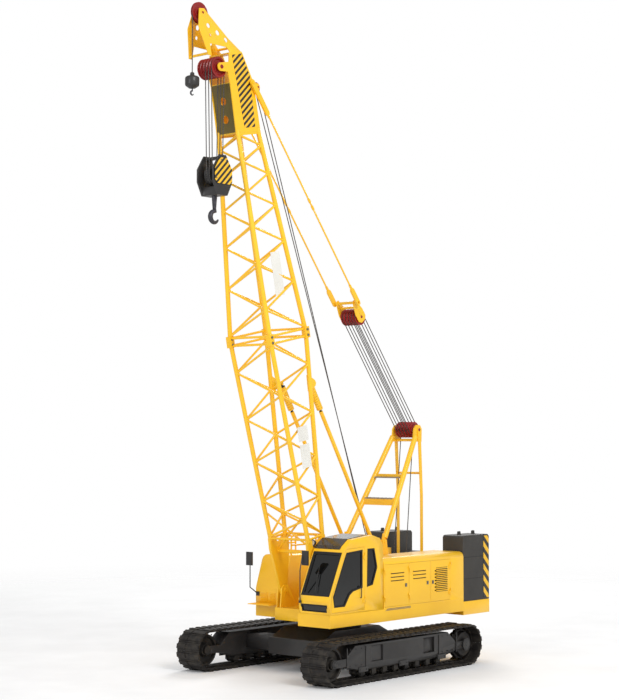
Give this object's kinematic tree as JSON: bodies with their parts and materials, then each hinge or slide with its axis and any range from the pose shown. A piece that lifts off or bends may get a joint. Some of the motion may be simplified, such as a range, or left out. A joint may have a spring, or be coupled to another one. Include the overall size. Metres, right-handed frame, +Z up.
{
  "type": "crawler crane with lattice boom",
  "caption": "Yellow lattice-boom crawler crane: slewing upperworks with cab and winches, gantry and pendants, luffing boom with main hook block and auxiliary hook, on spread tracks.",
  "frame": {"origin": "on the ground under the middle of the bounding box; the slewing axis is 0.294 m behind it", "axes": "+X forward, the way the boom points; +Y to the crane's left, the cab side; +Z up along the machine's height"},
  "size_m": [9.2086, 4.57, 15.1057],
  "materials": {
    "black_paint": "satin black paint",
    "cab_glass": "tinted safety glass",
    "engine_grey": "grey painted casting",
    "hook_steel": "dark forged steel",
    "rope_steel": "greased wire rope and bare steel",
    "seat_cloth": "dark grey cloth",
    "sheave_red": "red painted steel",
    "track_steel": "bare dark steel, dusty",
    "weight_grey": "dark grey painted casting, matt",
    "yellow_paint": "satin safety-yellow paint, a little chalky"
  },
  "bodies": {
    "undercarriage": {"carbody": "black_paint", "slewing_ring": "black_paint"},
    "upperworks": {"deck_frame": "yellow_paint", "left_house": "yellow_paint", "right_house": "yellow_paint", "engine_block": "engine_grey", "counterweight_tray": "yellow_paint", "counterweight_left": "weight_grey", "counterweight_middle": "weight_grey", "counterweight_right": "weight_grey", "cab_shell": "yellow_paint", "cab_rear_quarter_glass": "cab_glass", "cab_right_glass": "cab_glass", "cab_windscreen": "cab_glass", "cab_lower_front_glass": "cab_glass", "operator_seat": "seat_cloth", "right_handrail": "yellow_paint", "right_mirror": "black_paint", "left_mirror": "black_paint", "gantry_front_frame": "yellow_paint", "gantry_rear_legs": "yellow_paint"},
    "cab_door": {"cab_door": "yellow_paint", "cab_door_glass": "cab_glass"},
    "boom": {"boom_foot_section": "yellow_paint", "boom_head_section": "yellow_paint", "tip_extension": "yellow_paint"},
    "head_sheaves": {"head_sheaves": "sheave_red"},
    "tip_sheave": {"tip_sheave": "sheave_red"},
    "pendants": {"left_pendant": "yellow_paint", "right_pendant": "yellow_paint"},
    "gantry_tackle": {"gantry_sheaves": "sheave_red"},
    "bridle": {"bridle_frame": "yellow_paint"},
    "bridle_sheaves": {"bridle_sheaves": "sheave_red"},
    "main_falls": {"main_hoist_falls": "rope_steel"},
    "main_hook": {"hook_block": "yellow_paint", "main_hook_forging": "hook_steel"},
    "auxiliary_line": {"auxiliary_hoist_rope": "rope_steel"},
    "auxiliary_hook": {"auxiliary_hook_ball": "black_paint"},
    "left_track": {"left_track_loop": "track_steel", "left_sprocket": "track_steel", "left_idler": "track_steel", "left_side_frame": "black_paint", "left_bottom_rollers": "track_steel"},
    "left_backstop_rod": {"left_backstop_buffer": "rope_steel"},
    "left_backstop_tube": {"left_backstop_tube": "yellow_paint"},
    "right_track": {"right_track_loop": "track_steel", "right_sprocket": "track_steel", "right_idler": "track_steel", "right_side_frame": "black_paint", "right_bottom_rollers": "track_steel"},
    "right_backstop_rod": {"right_backstop_buffer": "rope_steel"},
    "right_backstop_tube": {"right_backstop_tube": "yellow_paint"},
    "main_hoist_drum": {"main_hoist_drum": "rope_steel"},
    "auxiliary_hoist_drum": {"auxiliary_hoist_drum": "rope_steel"},
    "boom_hoist_drum": {"boom_hoist_drum": "rope_steel"},
    "left_front_door": {"left_front_door": "yellow_paint"},
    "left_middle_door": {"left_middle_door": "yellow_paint"},
    "left_grille_door": {"left_grille_door": "yellow_paint"},
    "right_front_door": {"right_front_door": "yellow_paint"},
    "right_middle_door": {"right_middle_door": "yellow_paint"}
  },
  "joints": [
    {"name": "slew", "type": "hinge", "parent": "undercarriage", "child": "upperworks", "pos_m": [-0.29434, 0, 1.18], "axis": [0, 0, 1], "continuous": true},
    {"name": "left_track_draw_in", "type": "slide", "parent": "undercarriage", "child": "left_track", "axis": [0, -1, 0], "range_m": [0, 0.5]},
    {"name": "right_track_draw_in", "type": "slide", "parent": "undercarriage", "child": "right_track", "axis": [0, 1, 0], "range_m": [0, 0.5]},
    {"name": "boom_luff", "type": "hinge", "parent": "upperworks", "child": "boom", "pos_m": [0.78466, 0, 1.863], "axis": [0, 1, 0], "range_deg": [-1.26, 48.74]},
    {"name": "gantry_tackle_swing", "type": "hinge", "parent": "upperworks", "child": "gantry_tackle", "pos_m": [-3.24034, 0, 5.637], "axis": [0, 1, 0], "range_deg": [-1.15, 42.76]},
    {"name": "bridle_run", "type": "slide", "parent": "gantry_tackle", "child": "bridle", "axis": [0.6166, 0, 0.7873], "range_m": [-0.1152, 4.3792]},
    {"name": "pendant_swing", "type": "hinge", "parent": "boom", "child": "pendants", "pos_m": [2.89064, 0, 13.46511], "axis": [0, 1, 0], "range_deg": [-6.08, 0.21]},
    {"name": "left_backstop_swing", "type": "hinge", "parent": "boom", "child": "left_backstop_rod", "pos_m": [1.02558, 0.45, 6.70924], "axis": [0, 1, 0], "range_deg": [-8.46, 0.27]},
    {"name": "left_backstop_extend", "type": "slide", "parent": "left_backstop_rod", "child": "left_backstop_tube", "axis": [-0.5219, 0, -0.853], "range_m": [-0.0476, 1.7649]},
    {"name": "right_backstop_swing", "type": "hinge", "parent": "boom", "child": "right_backstop_rod", "pos_m": [1.02558, -0.45, 6.70924], "axis": [0, 1, 0], "range_deg": [-8.46, 0.27]},
    {"name": "right_backstop_extend", "type": "slide", "parent": "right_backstop_rod", "child": "right_backstop_tube", "axis": [-0.5219, 0, -0.853], "range_m": [-0.0476, 1.7649]},
    {"name": "main_falls_swing", "type": "hinge", "parent": "boom", "child": "main_falls", "pos_m": [3.83181, 0, 13.68558], "axis": [0, 1, 0], "range_deg": [-48.79, 1.31]},
    {"name": "auxiliary_line_swing", "type": "hinge", "parent": "boom", "child": "auxiliary_line", "pos_m": [4.2289, 0, 14.86066], "axis": [0, 1, 0], "range_deg": [-48.79, 1.31]},
    {"name": "main_hoist", "type": "slide", "parent": "main_falls", "child": "main_hook", "axis": [0, 0, 1], "range_m": [-8.5, 1], "deforming": ["main_hoist_falls"]},
    {"name": "auxiliary_hoist", "type": "slide", "parent": "auxiliary_line", "child": "auxiliary_hook", "axis": [0, 0, 1], "range_m": [-11.3, 0.8], "deforming": ["auxiliary_hoist_rope"]},
    {"name": "main_hoist_drum_turn", "type": "hinge", "parent": "upperworks", "child": "main_hoist_drum", "pos_m": [-1.69434, 0, 1.93], "axis": [0, 1, 0], "continuous": true},
    {"name": "auxiliary_hoist_drum_turn", "type": "hinge", "parent": "upperworks", "child": "auxiliary_hoist_drum", "pos_m": [-2.37434, 0, 1.93], "axis": [0, 1, 0], "continuous": true},
    {"name": "boom_hoist_drum_turn", "type": "hinge", "parent": "upperworks", "child": "boom_hoist_drum", "pos_m": [-3.05434, 0, 1.93], "axis": [0, 1, 0], "continuous": true},
    {"name": "head_sheaves_turn", "type": "hinge", "parent": "boom", "child": "head_sheaves", "pos_m": [3.83181, 0, 13.68558], "axis": [0, 1, 0], "continuous": true},
    {"name": "tip_sheave_turn", "type": "hinge", "parent": "boom", "child": "tip_sheave", "pos_m": [4.2289, 0, 14.86066], "axis": [0, 1, 0], "continuous": true},
    {"name": "bridle_sheaves_turn", "type": "hinge", "parent": "bridle", "child": "bridle_sheaves", "pos_m": [-1.09874, 0, 8.37142], "axis": [0, 1, 0], "continuous": true},
    {"name": "cab_door_swing", "type": "hinge", "parent": "upperworks", "child": "cab_door", "pos_m": [0.40166, 1.599, 2.2], "axis": [0, 0, 1], "range_deg": [0, 95]},
    {"name": "left_front_door_swing", "type": "hinge", "parent": "upperworks", "child": "left_front_door", "pos_m": [-0.33234, 1.599, 1.9975], "axis": [0, 0, -1], "range_deg": [0, 110]},
    {"name": "left_middle_door_swing", "type": "hinge", "parent": "upperworks", "child": "left_middle_door", "pos_m": [-1.25734, 1.599, 1.9975], "axis": [0, 0, -1], "range_deg": [0, 110]},
    {"name": "left_grille_door_swing", "type": "hinge", "parent": "upperworks", "child": "left_grille_door", "pos_m": [-2.88634, 1.599, 1.9975], "axis": [0, 0, 1], "range_deg": [0, 110]},
    {"name": "right_front_door_swing", "type": "hinge", "parent": "upperworks", "child": "right_front_door", "pos_m": [-0.33234, -1.599, 1.9975], "axis": [0, 0, 1], "range_deg": [0, 110]},
    {"name": "right_middle_door_swing", "type": "hinge", "parent": "upperworks", "child": "right_middle_door", "pos_m": [-1.25734, -1.599, 1.9975], "axis": [0, 0, 1], "range_deg": [0, 110]}
  ],
  "couplings": [
    {"joint": "gantry_tackle_swing", "follows": "boom_luff", "ratio": 0.87635},
    {"joint": "bridle_run", "follows": "boom_luff", "m_per_rad": 5.1455},
    {"joint": "pendant_swing", "follows": "boom_luff", "ratio": -0.12365},
    {"joint": "main_falls_swing", "follows": "boom_luff", "ratio": -1},
    {"joint": "auxiliary_line_swing", "follows": "boom_luff", "ratio": -1},
    {"joint": "left_backstop_swing", "follows": "boom_luff", "ratio": -0.17248},
    {"joint": "left_backstop_extend", "follows": "boom_luff", "m_per_rad": 2.0723},
    {"joint": "right_backstop_swing", "follows": "boom_luff", "ratio": -0.17248},
    {"joint": "right_backstop_extend", "follows": "boom_luff", "m_per_rad": 2.0723}
  ]
}
